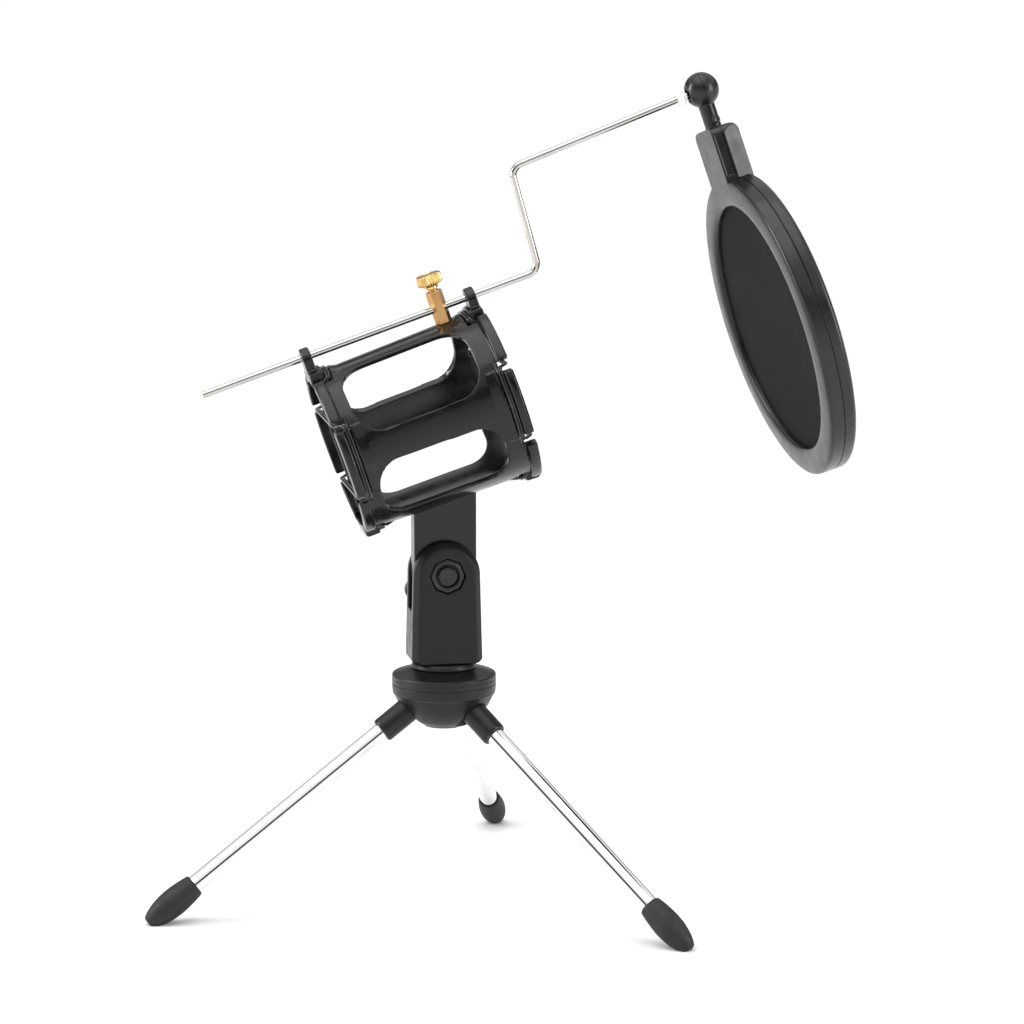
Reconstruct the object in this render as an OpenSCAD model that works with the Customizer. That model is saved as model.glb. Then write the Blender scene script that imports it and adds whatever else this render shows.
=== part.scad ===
// Desktop microphone stand with a pop filter.
// A three-leg folding base carries a clevis yoke, an elastic shock-mount cage
// for the microphone, a cranked steel rod and a round mesh filter on a ball.
// Millimetres. +Z is up and the desk is z = 0. +X points from the cage
// towards the filter. Every sub-part is drawn in its own place.

/* [Tripod] */
// Height of the hub's upper rim above the desk
rim_z = 99; // [96:0.5:104]
// Angle of an open leg below the horizontal
leg_drop = 35.6; // [34:0.1:37]
// Length of a leg from the hub axis to the foot tip
leg_len = 162.8; // [160:0.1:166]
// Direction of the first leg, seen from above
leg_turn = 70; // [60:1:80]
// Outer radius of the hub
hub_r = 22.4; // [21:0.1:24]
// Radius of the chromed leg tube
tube_r = 4; // [3.6:0.1:4.4]
// Radius of the plastic leg sleeve
sleeve_r = 5.5; // [5.2:0.1:5.8]

/* [Yoke] */
// Height of the tilt pivot above the hub rim
pivot_h = 43.6; // [42:0.2:46]
// Half width of the yoke at its foot
yoke_foot = 15.3; // [15:0.1:17]
// Radius of the rounded ears
ear_r = 14.4; // [14:0.1:15]
// Half depth of the yoke across the ears
yoke_d = 11.3; // [11:0.1:12.6]
// Half thickness of the cage stem between the ears
stem_t = 5; // [4.6:0.1:5]
// Half width of the cage stem
stem_w = 13.4; // [12.8:0.1:13.8]

/* [Cage] */
// Nose-up tilt of the cage on its stem
cage_tilt = 19.15; // [15:0.05:22]
// Cage centre ahead of the tripod axis
cage_x = -9.2; // [-11:0.1:-7]
// Cage centre above the hub rim
cage_h = 108.8; // [107.5:0.1:110]
// Outer radius of the cage tube at the rear end
cage_r1 = 35.1; // [34.6:0.1:35.6]
// Outer radius of the cage tube at the front end
cage_r2 = 36.8; // [36.4:0.1:37.2]
// Wall of the cage tube
cage_wall = 2.6; // [2.2:0.1:3]
// Half length of the cage over the tabs
cage_l = 39.4; // [39:0.1:40]
// Half spacing of the level elastic strands
band_z = 16; // [15:0.1:17]
// Half spacing of the upright elastic strands
band_y = 12; // [11:0.1:13]
// Radius of the elastic band
band_r = 1.1; // [0.9:0.05:1.2]

/* [Rod] */
// Radius of the steel rod
rod_r = 1.5; // [1.4:0.05:1.6]
// Height of the rod above the cage axis
rod_h = 43.1; // [42.6:0.1:43.6]
// Rear end of the rod, along the cage axis
rod_rear = -83.4; // [-95:0.1:-70]
// First corner of the rod, along the cage axis
rod_c1 = 68.6; // [67:0.1:72]
// Forward lean of the riser
riser_lean = 3.4; // [0:0.1:5]
// Rise of the rod between its two corners
riser_h = 45.2; // [40:0.1:50]
// Length from the second corner to the ball
rod_far = 88.3; // [80:0.1:95]
// Climb of the last stretch against the cage axis
rod_climb = 2.2; // [0:0.1:5]
// Bend radius of the rod
bend_r = 5.2; // [4.5:0.1:6.5]

/* [Filter] */
// Back tilt of the filter ring
filter_tilt = 17; // [14:0.1:20]
// Turn of the filter about the upright
filter_turn = 3.2; // [0:0.2:6]
// Lean of the filter's arm, away from the knob side
filter_lean = 9; // [0:0.5:12]
// Outer radius of the filter ring
ring_r = 66; // [62:0.5:70]
// Radius of the mesh window
mesh_r = 54.2; // [50:0.1:55]
// Distance from the ball to the ring centre
ball_drop = 104.8; // [103:0.1:107]
// Reach of the ring from its middle plane, on the cage side
half_a = 6.1; // [5.8:0.1:6.6]
// Reach of the ring from its middle plane, on the voice side
half_b = 7.4; // [7:0.1:7.8]
// Seam between the two ring shells, from the middle plane
seam = -0.6; // [-0.9:0.1:-0.3]
// Radius of the ball socket
socket_r = 7.5; // [7.2:0.1:8]
// Radius of the ball
ball_r = 5; // [4.8:0.1:5.2]

/* [Hidden] */
// Offset of the tripod axis from the middle of the whole outline
mid_x = 17.5;
mid_y = 11.26;
$fn = 96;
run_fit = 0.05;             // radial running clearance
leg_c = rim_z - 3.5;        // height where the leg axes meet
hinge_s = 17;               // leg hinge, measured along the leg
hinge_x = hinge_s * cos(leg_drop);
hinge_z = leg_c - hinge_s * sin(leg_drop);
fold_a = 54;                // fold of a leg, down to upright
pin_r = 1.5;
stud_r = 4.75;
bolt_r = 3;
pivot_z = rim_z + pivot_h;
yoke_z = rim_z + 5.4;       // underside of the yoke
slot_h = stem_t + 0.3;      // half gap between the ears
knob_a = 229;               // direction of the knob's first wing
knob_y = yoke_d + 1.3;
lip_t = 4.1;                // thickness of the side lips and rod posts
level_x = cage_l - lip_t - 1.2;    // plane of the level elastic loops
upright_x = level_x - 2.35;        // plane of the upright elastic loops
nub_x = 23;               // brass post, along the cage axis
nub_z = 36.3;               // foot of the brass post
nub_h = 14.5;
bore = rod_r + 0.08;
c2x = rod_c1 + riser_h * tan(riser_lean);
c2z = rod_h + riser_h;
ball_x = c2x + rod_far * cos(rod_climb);   // ball, cage axes
ball_z = c2z + rod_far * sin(rod_climb);
function cage_r(x) = cage_r1 + (cage_r2 - cage_r1) * (x + cage_l) / (2 * cage_l);
// ball centre in the part's axes
bpx = cage_x + ball_x * cos(cage_tilt) - ball_z * sin(cage_tilt);
bpz = rim_z + cage_h + ball_x * sin(cage_tilt) + ball_z * cos(cage_tilt);

// ---- placing ----
module place() translate([-mid_x, -mid_y, 0]) children();
module leg_side(i) rotate([0, 0, leg_turn + 120 * i]) children();
// along a leg: +Z runs from the hub axis to the foot
module leg_axis(i, extra = 0)
  leg_side(i) translate([hinge_x, 0, hinge_z])
    rotate([0, 90 + leg_drop + extra, 0]) translate([0, 0, -hinge_s]) children();
module cage_axes()
  translate([cage_x, 0, rim_z + cage_h]) rotate([0, -cage_tilt, 0]) children();
module along_x() rotate([0, 90, 0]) children();
module ball_axes() translate([bpx, 0, bpz]) children();
// ring centre at the origin, +X is the ring normal, +Z points at the ball
module ring_axes()
  translate([bpx, 0, bpz]) rotate([0, 0, filter_turn])
    rotate([0, -filter_tilt, 0]) rotate([-filter_lean, 0, 0])
      translate([0, 0, -ball_drop]) children();

// ---- hub ----
module hub_slots() for (i = [0:2]) {
  for (e = [0, fold_a / 2, fold_a]) leg_axis(i, e) translate([0, 0, hinge_s])
    cylinder(r = sleeve_r + 0.35, h = 40);
  leg_side(i) translate([hinge_x, 0, hinge_z]) {
    sphere(r = sleeve_r + 0.35);
    rotate([90, 0, 0]) linear_extrude(2 * sleeve_r + 0.7, center = true)
      polygon([[0, 0], for (a = [0:6]) 42 * [cos(-leg_drop - a * fold_a / 6),
        sin(-leg_drop - a * fold_a / 6)]]);
  }
}
module hub_body() color([0.10, 0.10, 0.11]) difference() {
  translate([0, 0, rim_z]) rotate_extrude()
    polygon([[0, -23], [8.8, -23], [9.8, -22.7], [13.6, -20.3], [17, -16.9],
      [19.7, -12.9], [21.3, -9.4], [hub_r - 0.7, -9.1], [hub_r - 0.3, -8.8],
      [hub_r, -7], [hub_r, -4.4], [0, -4.4]]);
  hub_slots();
  for (i = [0:2]) leg_side(i) translate([hinge_x, 0, hinge_z])
    rotate([90, 0, 0]) cylinder(r = pin_r, h = 17, center = true);
  translate([0, 0, rim_z - 9]) cylinder(r = 6.5, h = 6);
  translate([0, 0, rim_z - 24]) cylinder(r = 2, h = 20);
  translate([0, 0, rim_z - 24]) cylinder(r = 4, h = 4);
}
module hub_cap() color([0.10, 0.10, 0.11]) difference() {
  translate([0, 0, rim_z]) rotate_extrude()
    polygon([[stud_r, -4.4], [hub_r - 0.5, -4.4], [hub_r - 0.2, -4.1],
      [hub_r, -3.6], [hub_r, -0.7], [hub_r - 0.3, -0.2], [hub_r - 0.9, 0.1],
      [14.6, 1.9], [13.2, 2.4], [stud_r, 2.4]]);
}
module hub_screw() color("silver") translate([0, 0, rim_z]) {
  translate([0, 0, -22.4]) cylinder(r = 3.9, h = 2.4);
  translate([0, 0, -20]) cylinder(r = 2, h = 15);
}
module threaded_stud() color("silver") translate([0, 0, rim_z]) difference() {
  union() {
    translate([0, 0, -8.9]) cylinder(r = 6.4, h = 4.5);
    translate([0, 0, -4.4]) cylinder(r = stud_r, h = 24.4);
  }
  translate([0, 0, -9]) cylinder(r = 2, h = 4.01);
}
module lock_collar() color([0.08, 0.08, 0.09]) translate([0, 0, rim_z])
  rotate_extrude() polygon([[stud_r + run_fit, 2.4], [13.6, 2.4], [14, 2.8],
    [14, 3.6], [13.2, 5.1], [stud_r + run_fit, 5.1]]);
module leg_pins() color("silver") for (i = [0:2])
  leg_side(i) translate([hinge_x, 0, hinge_z]) rotate([90, 0, 0])
    cylinder(r = pin_r, h = 16.8, center = true);

// ---- legs ----
module leg_sleeve(i) color([0.12, 0.12, 0.13]) difference() {
  leg_axis(i) rotate_extrude()
    polygon([for (a = [0:8]) [sleeve_r * sin(a * 11.25),
        hinge_s - sleeve_r * cos(a * 11.25)],
      [sleeve_r, 34.3], [sleeve_r - 0.5, 35], [tube_r + 0.02, 35],
      [tube_r + 0.02, 22], [0, 22]]);
  leg_side(i) translate([hinge_x, 0, hinge_z]) rotate([90, 0, 0])
    cylinder(r = pin_r + run_fit, h = 14, center = true);
}
module leg_tube(i) color([0.8, 0.8, 0.82]) leg_axis(i) rotate_extrude()
  polygon([[tube_r - 0.7, 22.05], [tube_r, 22.05], [tube_r, 156],
    [tube_r - 0.7, 156]]);
module leg_foot(i) color([0.07, 0.07, 0.07]) difference() {
  leg_axis(i) rotate_extrude()
    polygon([[0, 156.05], [tube_r + 0.02, 156.05], [tube_r + 0.02, 137.5],
      [4.6, 137.5], [4.95, 138.2], [5.55, 142], [5.95, 146.5], [6, 149.5],
      [5.75, 153], [5.1, 156.6], [4.1, 159.8], [3, 162], [2.15, leg_len],
      [0, leg_len]]);
  translate([0, 0, -20]) cube([400, 400, 40], center = true);
}

// ---- yoke ----
function yoke_pts(k) = [[-yoke_foot + k, yoke_z + 1.6],
  [-yoke_foot + k + 1.6, yoke_z], [yoke_foot - k - 1.6, yoke_z],
  [yoke_foot - k, yoke_z + 1.6],
  for (a = [-4:8:184]) [(ear_r - k) * cos(a), pivot_z + (ear_r - k) * sin(a)]];
module slab(k, y0, y1) translate([0, y1, 0]) rotate([90, 0, 0])
  linear_extrude(y1 - y0) polygon(yoke_pts(k));
module yoke() color([0.10, 0.10, 0.11]) difference() {
  union() {
    slab(0, -yoke_d + 2.4, yoke_d - 2.4);
    hull() { slab(0, -yoke_d + 2.4, -yoke_d + 2.41); slab(2.5, -yoke_d, -yoke_d + 0.01); }
    hull() { slab(0, yoke_d - 2.41, yoke_d - 2.4); slab(2.5, yoke_d - 0.01, yoke_d); }
  }
  translate([0, 0, pivot_z - 15.4 + 25]) cube([60, 2 * slot_h, 50], center = true);
  translate([0, 0, pivot_z]) rotate([90, 0, 0]) {
    cylinder(r = bolt_r + run_fit, h = 60, center = true);
    translate([0, 0, yoke_d - 3.2]) cylinder(r = 7.8, h = 5, $fn = 8);
  }
  translate([0, 0, yoke_z - 1]) cylinder(r = 7, h = 17.2);
}
module thread_insert() color([0.78, 0.58, 0.26]) translate([0, 0, yoke_z])
  difference() {
    translate([0, 0, 0.1]) cylinder(r = 7, h = 16);
    translate([0, 0, -1]) cylinder(r = stud_r + run_fit, h = 20);
  }
module pivot_nut() color([0.16, 0.16, 0.17])
  translate([0, -yoke_d + 3.2, pivot_z]) rotate([90, 0, 0]) difference() {
    union() {
      cylinder(r = 7.1, h = 1.6, $fn = 8);
      cylinder(r = 4.8, h = 3.6);
    }
    translate([0, 0, -1]) cylinder(r = bolt_r, h = 6);
  }
module wing_knob() color([0.09, 0.09, 0.10])
  translate([0, knob_y, pivot_z]) rotate([-90, 0, 0]) difference() {
    union() {
      cylinder(r1 = 6.6, r2 = 6.2, h = 9);
      for (s = [0, 180]) rotate([0, 0, s - knob_a]) hull() {
        translate([2, 0, 3]) cylinder(r = 4, h = 5.5, $fn = 32);
        translate([14.4, 0, 4.5]) cylinder(r = 4.5, h = 4.5, $fn = 32);
      }
    }
    translate([0, 0, -1]) cylinder(r = bolt_r, h = 7.5);
  }
module pivot_bolt() color("silver") translate([0, -yoke_d + 0.2, pivot_z])
  rotate([-90, 0, 0]) cylinder(r = bolt_r, h = 2 * yoke_d + 7.5);
module knob_washer() color("silver") translate([0, yoke_d + 0.2, pivot_z])
  rotate([-90, 0, 0]) difference() {
    cylinder(r = 6.9, h = 1);
    translate([0, 0, -1]) cylinder(r = bolt_r, h = 3);
  }

// ---- cage ----
// opening with round corners, cut outwards through the wall
module window(a, w, l0, l1, r = 10.5) rotate([a, 0, 0]) mirror([0, 1, 0]) {
  translate([l0 + r, 15, -w]) cube([l1 - l0 - 2 * r, 40, 2 * w]);
  translate([l0, 15, -w + r]) cube([l1 - l0, 40, 2 * (w - r)]);
  for (x = [l0 + r, l1 - r], z = [-w + r, w - r])
    translate([x, 15, z]) rotate([-90, 0, 0]) cylinder(r = r, h = 40);
}
// slots in both rims where the elastic loops pass through the wall
module notches() for (e = [-1, 1], s = [-1, 1]) {
  translate([e * (level_x - 1.15 + 15), 0, s * band_z])
    cube([30, 100, 4], center = true);
  translate([e * (upright_x - 1.15 + 15), s * band_y, 0])
    cube([30, 4, 100], center = true);
}
// sector of a revolved rim feature: a is the middle (0 is down), w half width;
// q lists [height over the tube wall, distance from the cage centre]
module sector(e, a, w, q) along_x() rotate([0, 0, a - w])
  rotate_extrude(angle = 2 * w)
    polygon([for (v = q) [cage_r(e * v[1]) + v[0], e * v[1]]]);
module rim(e) {
  for (a = [90, 270]) {
    sector(e, a, 24, [[-1, level_x + 1.2], [2.5, level_x + 1.2],
      [3.2, level_x + 1.9], [3.2, cage_l - 0.9], [2.4, cage_l - 0.1], [-1, cage_l - 0.1]]);
    sector(e, a, 24, [[-1, level_x - 7], [-0.05, level_x - 7],
      [1, level_x - 2.6], [0.8, level_x - 1.4], [-1, level_x - 1.4]]);
  }
  for (a = [0, 180]) {
    sector(e, a, 16.5, [[-1, upright_x + 1.2], [2.2, upright_x + 1.2],
      [2.8, upright_x + 1.8], [2.8, cage_l - 0.9], [2.2, cage_l - 0.2], [-1, cage_l - 0.2]]);
    sector(e, a, 16.5, [[-1, upright_x - 6], [-0.05, upright_x - 6],
      [1, upright_x - 2.4], [0.8, upright_x - 1.4], [-1, upright_x - 1.4]]);
  }
  h = e > 0 ? 2.8 : 1.4;
  for (a = [41.5, 138.5, 221.5, 318.5])
    sector(e, a, 19, [[-1, cage_l - 4.6], [h - 0.4, cage_l - 4.6],
      [h, cage_l - 4.2], [h, cage_l - 0.6], [h - 0.4, cage_l - 0.1], [-1, cage_l - 0.1]]);
}
module post(x0) {
  translate([x0, -5.5, 35]) cube([lip_t, 11, rod_h - 36.5]);
  translate([x0, 0, rod_h - 1.5]) along_x() cylinder(r = 5.5, h = lip_t);
}
module stem() rotate([90, 0, 0]) linear_extrude(2 * stem_t, center = true)
  polygon([for (a = [180:7.5:360]) [stem_w * cos(a), pivot_z + stem_w * sin(a)],
    [stem_w, pivot_z + 36], [-stem_w, pivot_z + 28]]);
module cage() color([0.09, 0.09, 0.10]) difference() {
  union() {
    cage_axes() {
      along_x() rotate_extrude() polygon([
        [cage_r1 - cage_wall, -cage_l], [cage_r1, -cage_l],
        [cage_r2, cage_l], [cage_r2 - cage_wall, cage_l]]);
      rim(-1);
      rim(1);
      post(-cage_l + 0.3);
      post(cage_l - lip_t - 0.3);
    }
    stem();
  }
  cage_axes() {
    along_x() translate([0, 0, -60]) cylinder(
      r1 = cage_r(-60) - cage_wall, r2 = cage_r(60) - cage_wall, h = 120);
    for (m = [0, 1]) mirror([0, m, 0]) {
      window(-42.6, 16.85, -28.7, 26.7, 11.5);
      window(31.5, 14.35, -28.7, 26.7, 11);
    }
    notches();
    along_x() translate([-rod_h, 0, -50]) cylinder(r = bore, h = 100);
    translate([nub_x, 0, 25]) cylinder(r = 2, h = 15);
    translate([nub_x, 0, nub_z]) cylinder(r = 4.4, h = 3);
    translate([nub_x, 0, 30]) cylinder(r = 3.4, h = 5.2);
  }
  translate([0, 0, pivot_z]) rotate([90, 0, 0])
    cylinder(r = bolt_r + run_fit, h = 60, center = true);
}
// endless elastic loop in one plane: two straight strands at +-d and an arc
// behind a tab at each side
module loop(x, d) color([0.06, 0.06, 0.06]) {
  rr = cage_r(x) + band_r + 0.06;
  e = sqrt(rr * rr - d * d);
  a = asin(d / rr);
  translate([x, 0, 0]) for (m = [0, 1]) {
    mirror([0, 0, m]) translate([0, 0, d]) rotate([90, 0, 0])
      cylinder(r = band_r, h = 2 * e, center = true);
    mirror([0, m, 0]) along_x() rotate([0, 0, 90 - a])
      rotate_extrude(angle = 2 * a) translate([rr, 0]) circle(r = band_r);
    for (k = [0, 1]) mirror([0, m, 0]) mirror([0, 0, k])
      translate([0, e, d]) sphere(r = band_r + 0.04);
  }
}
module band_level(s) cage_axes() loop(s * level_x, band_z);
module band_upright(s) cage_axes() rotate([90, 0, 0]) loop(s * upright_x, band_y);
module brass_post() color([0.78, 0.56, 0.24]) cage_axes() difference() {
  translate([nub_x, 0, nub_z]) cylinder(r = 3.6, h = nub_h, $fn = 6);
  along_x() translate([-rod_h, 0, 0]) cylinder(r = bore, h = 60);
  translate([nub_x, 0, rod_h]) cylinder(r = 2.05, h = 12);
  translate([nub_x, 0, nub_z - 1]) cylinder(r = 1.6, h = 5);
}
module post_screw() color("silver") cage_axes() translate([nub_x, 0, 0])
  union() {
    translate([0, 0, 33.9]) cylinder(r = 3.2, h = 1.3);
    translate([0, 0, 35.2]) cylinder(r = 1.6, h = 4.9);
  }
module thumb_screw() color([0.82, 0.62, 0.28]) cage_axes()
  translate([nub_x, 0, 0]) {
    translate([0, 0, rod_h + rod_r + 0.06]) cylinder(r = 2, h = 8);
    translate([0, 0, 52]) cylinder(r = 2.8, h = 1);
    translate([0, 0, 53]) cylinder(r1 = 3.4, r2 = 4.4, h = 0.8);
    translate([0, 0, 53.8]) cylinder(r = 5.5, h = 4.5);
  }

// ---- rod ----
// bend of the rod about a corner at p, turning by t after heading h
module bend(p, h, t) {
  d = bend_r * tan(abs(t) / 2);
  s = t > 0 ? 1 : -1;
  c = p - d * [cos(h), sin(h)] + s * bend_r * [-sin(h), cos(h)];
  rotate([90, 0, 0]) translate([c[0], c[1], 0])
    rotate([0, 0, h - s * 90 + (t < 0 ? t : 0) + 1])
      rotate_extrude(angle = abs(t) - 2)
        translate([bend_r, 0]) circle(r = rod_r, $fn = 48);
  for (q = [[p - d * [cos(h), sin(h)], h],
      [p + d * [cos(h + t), sin(h + t)], h + t]])
    run(q[0] - 0.25 * [cos(q[1]), sin(q[1])], q[1], 0.5, rod_r + 0.02);
}
module run(p, h, l, r = rod_r) rotate([90, 0, 0]) translate([p[0], p[1], 0])
  rotate([0, 0, h]) rotate([0, 90, 0]) cylinder(r = r, h = l, $fn = 48);
module rod() color([0.78, 0.78, 0.78]) cage_axes() {
  h2 = 90 - riser_lean;
  t1 = h2;
  t2 = rod_climb - h2;
  d1 = bend_r * tan(t1 / 2);
  d2 = bend_r * tan(-t2 / 2);
  l2 = riser_h / cos(riser_lean);
  run([rod_rear, rod_h], 0, rod_c1 - rod_rear - d1 - 0.08);
  bend([rod_c1, rod_h], 0, t1);
  run([rod_c1, rod_h] + (d1 + 0.08) * [cos(h2), sin(h2)], h2,
    l2 - d1 - d2 - 0.16);
  bend([c2x, c2z], h2, t2);
  run([c2x, c2z] + (d2 + 0.08) * [cos(rod_climb), sin(rod_climb)], rod_climb,
    rod_far - d2 - 0.08);
}
module on_rod_end(d) cage_axes() translate([ball_x, 0, ball_z])
  rotate([0, -rod_climb, 0]) translate([d, 0, 0]) children();
module rod_nut() color([0.85, 0.85, 0.86]) on_rod_end(-11.6) along_x()
  difference() {
    union() {
      cylinder(r = 3.2, h = 3.4, $fn = 6);
      translate([0, 0, 3.4]) cylinder(r = 2.2, h = 1);
    }
    translate([0, 0, -1]) cylinder(r = rod_r, h = 8);
  }
module rod_ball() color([0.7, 0.7, 0.72]) on_rod_end(0) difference() {
  sphere(r = ball_r);
  along_x() translate([0, 0, -8]) cylinder(r = rod_r + run_fit, h = 8.5);
}

// ---- filter ----
// mouth of the socket, wide enough for the rod to lean about the ball
module mouth() ball_axes() {
  rotate([0, 90, 0]) sphere(r = ball_r + run_fit);
  rotate([0, -cage_tilt - rod_climb, 0]) rotate([0, -90, 0])
    cylinder(r1 = 0, r2 = 5.7, h = 9.5);
}
module handle_block() difference() {
  translate([-5.6, -13.6, 60]) cube([half_b + 5.4, 27.2, 28]);
  for (k = [-1, 1]) {
    translate([0, k * 13.6, 88]) rotate([45, 0, 0])
      cube([40, 6, 6], center = true);
    translate([half_b, k * 13.6, 70]) rotate([0, 0, 45])
      cube([5.6, 5.6, 60], center = true);
  }
  along_x() translate([0, 0, -20]) cylinder(r = 62, h = 40);
}
// the whole filter housing, before it is split at the seam
module housing() {
  along_x() rotate_extrude() polygon([
    [mesh_r, -3], [mesh_r, -4.6], [mesh_r + 0.5, -5.3], [mesh_r + 1.6, -5.9],
    [mesh_r + 3.4, -half_a], [62.5, -5.9], [ring_r - 1, -5.4],
    [ring_r, -4.6], [ring_r, half_b - 2.4], [ring_r - 0.8, half_b - 1.4],
    [62.6, half_b - 0.4], [mesh_r + 3.4, half_b],
    [mesh_r + 1.4, half_b - 0.3], [mesh_r + 0.4, half_b - 1],
    [mesh_r, half_b - 1.8], [mesh_r, 3.5], [57.6, 3.5], [57.6, -3]]);
  handle_block();
  translate([0, 0, 86]) cylinder(r = 3.5, h = 13);
  translate([0, 0, 91.5]) cylinder(r = 4, h = 2.6);
  translate([0, 0, ball_drop]) along_x() sphere(r = socket_r);
}
module screw_holes() for (y = [-7.5, 7.5])
  translate([-5.9, y, 76]) along_x() cylinder(r = 1.2, h = 9.4);
module shell(s) ring_axes() difference() {
  housing();
  translate([seam - s * 20, 0, 20]) cube([40, 200, 260], center = true);
  screw_holes();
}
module filter_rear_shell() color([0.16, 0.16, 0.17]) difference() {
  shell(-1);
  mouth();
}
module filter_front_shell() color([0.14, 0.14, 0.15]) difference() {
  shell(1);
  mouth();
}
module disc(x) ring_axes() along_x() translate([0, 0, x])
  cylinder(r = 57.4, h = 0.5);
module mesh_rear() color([0.12, 0.10, 0.10]) disc(-2.95);
module mesh_front() color([0.12, 0.10, 0.10]) disc(2.95);
module mesh_hoop() color([0.2, 0.2, 0.2]) ring_axes() along_x() difference() {
  translate([0, 0, -2.4]) cylinder(r = 57.4, h = 5.3);
  translate([0, 0, -3]) cylinder(r = 55, h = 7);
}
module filter_screws() color("silver") ring_axes() for (y = [-7.5, 7.5])
  translate([-5.3, y, 76]) along_x() cylinder(r = 1.2, h = 8.6);

place() hub_body();
place() hub_cap();
place() hub_screw();
place() threaded_stud();
place() lock_collar();
place() leg_pins();
place() leg_sleeve(0);  // leg_sleeve_1
place() leg_tube(0);  // leg_tube_1
place() leg_foot(0);  // leg_foot_1
place() leg_sleeve(1);  // leg_sleeve_2
place() leg_tube(1);  // leg_tube_2
place() leg_foot(1);  // leg_foot_2
place() leg_sleeve(2);  // leg_sleeve_3
place() leg_tube(2);  // leg_tube_3
place() leg_foot(2);  // leg_foot_3
place() yoke();
place() thread_insert();
place() pivot_nut();
place() wing_knob();
place() pivot_bolt();
place() knob_washer();
place() cage();
place() band_level(-1);  // band_rear_level
place() band_upright(-1);  // band_rear_upright
place() band_level(1);  // band_front_level
place() band_upright(1);  // band_front_upright
place() brass_post();
place() post_screw();
place() thumb_screw();
place() rod();
place() rod_nut();
place() rod_ball();
place() filter_rear_shell();
place() filter_front_shell();
place() mesh_rear();
place() mesh_front();
place() mesh_hoop();
place() filter_screws();
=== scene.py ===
import math

import bmesh
import bpy
import numpy as np
from mathutils import Matrix, Vector


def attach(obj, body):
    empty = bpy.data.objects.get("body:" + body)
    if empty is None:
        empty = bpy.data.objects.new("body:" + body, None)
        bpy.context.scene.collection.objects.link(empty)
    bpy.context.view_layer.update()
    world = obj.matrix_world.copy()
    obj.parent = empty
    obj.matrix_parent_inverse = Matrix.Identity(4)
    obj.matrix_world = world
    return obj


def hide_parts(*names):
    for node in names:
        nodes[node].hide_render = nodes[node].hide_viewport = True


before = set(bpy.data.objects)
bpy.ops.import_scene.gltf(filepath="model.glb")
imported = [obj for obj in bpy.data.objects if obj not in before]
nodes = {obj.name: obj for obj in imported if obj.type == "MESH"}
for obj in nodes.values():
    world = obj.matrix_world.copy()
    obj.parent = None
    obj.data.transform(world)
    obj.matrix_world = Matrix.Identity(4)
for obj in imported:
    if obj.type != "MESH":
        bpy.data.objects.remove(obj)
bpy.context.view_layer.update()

# ---------------------------------------------------------------- dimensions (mm, as in the CAD)
MID = (17.5, 11.26)
RIM = 99.0
LEG_DROP, LEG_LEN, LEG_TURN, HINGE_S = 35.6, 162.8, 70.0, 17.0
HX = HINGE_S * math.cos(math.radians(LEG_DROP))
HZ = RIM - 3.5 - HINGE_S * math.sin(math.radians(LEG_DROP))
PIVOT_Z = RIM + 43.6
YOKE_D = 11.3
TILT, CX, CH, CL = 19.15, -9.2, 108.8, 39.4
CR1, CR2, WALL = 35.1, 36.8, 2.6
LIP = 4.1
LEVEL_X = CL - LIP - 1.2
UPRIGHT_X = LEVEL_X - 2.35
BAND_Z, BAND_Y, BAND_R = 16.0, 12.0, 1.1
ROD_R, ROD_H, ROD_REAR, ROD_C1 = 1.5, 43.1, -83.4, 68.6
LEAN, RISE, FAR, CLIMB, BEND = 3.4, 45.2, 88.3, 2.2, 5.2
F_TILT, F_TURN, F_LEAN = 17.0, 3.2, 9.0
RING_R, MESH_R, DROP, HALF_A, HALF_B, SEAM = 66.0, 54.2, 104.8, 6.1, 7.4, -0.6
SOCKET_R, BALL_R = 7.5, 5.0
KNOB_A = 229.0
C2X = ROD_C1 + RISE * math.tan(math.radians(LEAN))
C2Z = ROD_H + RISE
BX = C2X + FAR * math.cos(math.radians(CLIMB))
BZ = C2Z + FAR * math.sin(math.radians(CLIMB))
cb, sb = math.cos(math.radians(TILT)), math.sin(math.radians(TILT))
BALL = (CX + BX * cb - BZ * sb, 0.0, RIM + CH + BX * sb + BZ * cb)


def rx(a):
    return Matrix.Rotation(math.radians(a), 4, "X")


def ry(a):
    return Matrix.Rotation(math.radians(a), 4, "Y")


def rz(a):
    return Matrix.Rotation(math.radians(a), 4, "Z")


def tr(x, y, z):
    return Matrix.Translation((x, y, z))


HEAD = Matrix.Scale(0.001, 4) @ tr(-MID[0], -MID[1], 0)
CAGE = HEAD @ tr(CX, 0, RIM + CH) @ ry(-TILT)
ALONG = ry(90)
RING = HEAD @ tr(*BALL) @ rz(F_TURN) @ ry(-F_TILT) @ rx(-F_LEAN) @ tr(0, 0, -DROP)
ROD_END = CAGE @ tr(BX, 0, BZ) @ ry(-CLIMB)


def leg_m(i):
    return HEAD @ rz(LEG_TURN + 120 * i) @ tr(HX, 0, HZ) @ ry(90 + LEG_DROP) @ tr(0, 0, -HINGE_S)


def cage_r(x):
    return CR1 + (CR2 - CR1) * (x + CL) / (2 * CL)


# ---------------------------------------------------------------- mesh helpers
def make(name, verts, faces, m=None, sharp=35):
    me = bpy.data.meshes.new(name)
    me.from_pydata([tuple(v) for v in verts], [], faces)
    if m is not None:
        me.transform(m)
    me.validate()
    bm = bmesh.new()
    bm.from_mesh(me)
    bmesh.ops.remove_doubles(bm, verts=bm.verts, dist=1e-7)
    bmesh.ops.recalc_face_normals(bm, faces=bm.faces)
    bm.to_mesh(me)
    bm.free()
    ob = bpy.data.objects.new(name, me)
    bpy.context.scene.collection.objects.link(ob)
    shade(ob, sharp)
    return ob


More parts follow.
